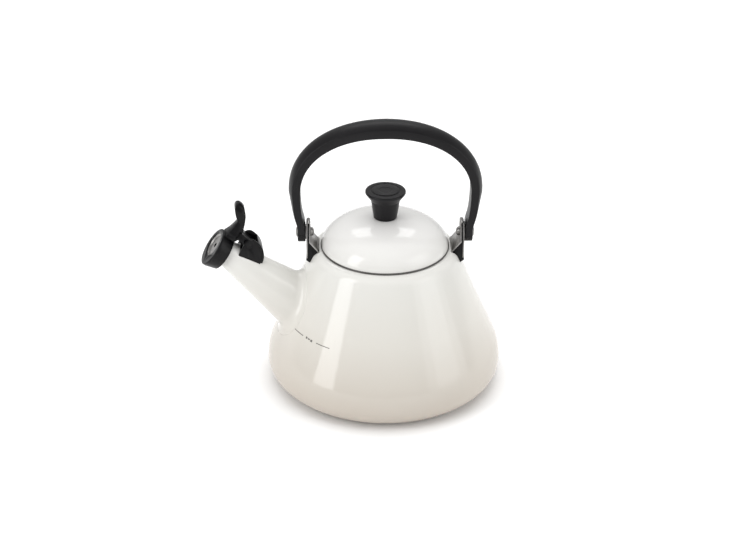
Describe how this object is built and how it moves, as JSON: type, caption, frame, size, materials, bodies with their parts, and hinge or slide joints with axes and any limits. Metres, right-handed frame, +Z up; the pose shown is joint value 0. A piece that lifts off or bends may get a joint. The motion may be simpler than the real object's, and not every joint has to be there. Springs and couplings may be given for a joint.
{
  "type": "kettle",
  "caption": "Enamelled steel stovetop kettle with a lift-off lid, folding bow handle, short spout and a flip-up whistle cap worked by a thumb lever.",
  "frame": {"origin": "centre of the flat base, on the surface the kettle stands on", "axes": "+Z up; the handle stands in the XZ plane; the spout points to -X, swung 7 degrees towards -Y"},
  "size_m": [0.2443, 0.193, 0.2284],
  "materials": {
    "enamel": "glossy off-white vitreous enamel on steel, warmer towards the base",
    "stainless": "satin stainless steel",
    "grip_phenolic": "satin black phenolic moulding",
    "moulded_phenolic": "black heat-resistant moulding with a slight sheen"
  },
  "bodies": {
    "kettle_body": {"body_shell": "enamel", "base_pan": "enamel", "spout": "enamel", "front_bracket": "stainless", "rear_bracket": "stainless", "front_heat_guard": "moulded_phenolic", "rear_heat_guard": "moulded_phenolic", "front_pivot_rivet": "stainless", "rear_pivot_rivet": "stainless", "front_spring_washer": "stainless", "rear_spring_washer": "stainless", "front_spacer_washer": "stainless", "rear_spacer_washer": "stainless", "whistle_clip": "moulded_phenolic", "clip_stud": "stainless", "clip_nut": "stainless", "whistle_hinge_pin": "stainless"},
    "handle": {"handle_bow": "grip_phenolic"},
    "lid": {"lid_shell": "enamel", "lid_rim": "stainless", "lid_collar": "stainless", "lid_knob": "grip_phenolic", "knob_washer": "stainless", "knob_screw": "stainless"},
    "whistle": {"whistle_cap": "moulded_phenolic", "whistle_outer_disc": "stainless", "whistle_inner_disc": "stainless"}
  },
  "joints": [
    {"name": "handle_fold", "type": "hinge", "parent": "kettle_body", "child": "handle", "pos_m": [0, 0, 0.1311], "axis": [1, 0, 0], "range_deg": [-108, 108]},
    {"name": "lid_lift", "type": "slide", "parent": "kettle_body", "child": "lid", "axis": [0, 0, 1], "range_m": [0, 0.04]},
    {"name": "whistle_flip", "type": "hinge", "parent": "kettle_body", "child": "whistle", "pos_m": [-0.10965, -0.01346, 0.12861], "axis": [-0.1219, 0.9925, 0], "range_deg": [0, 55]}
  ]
}
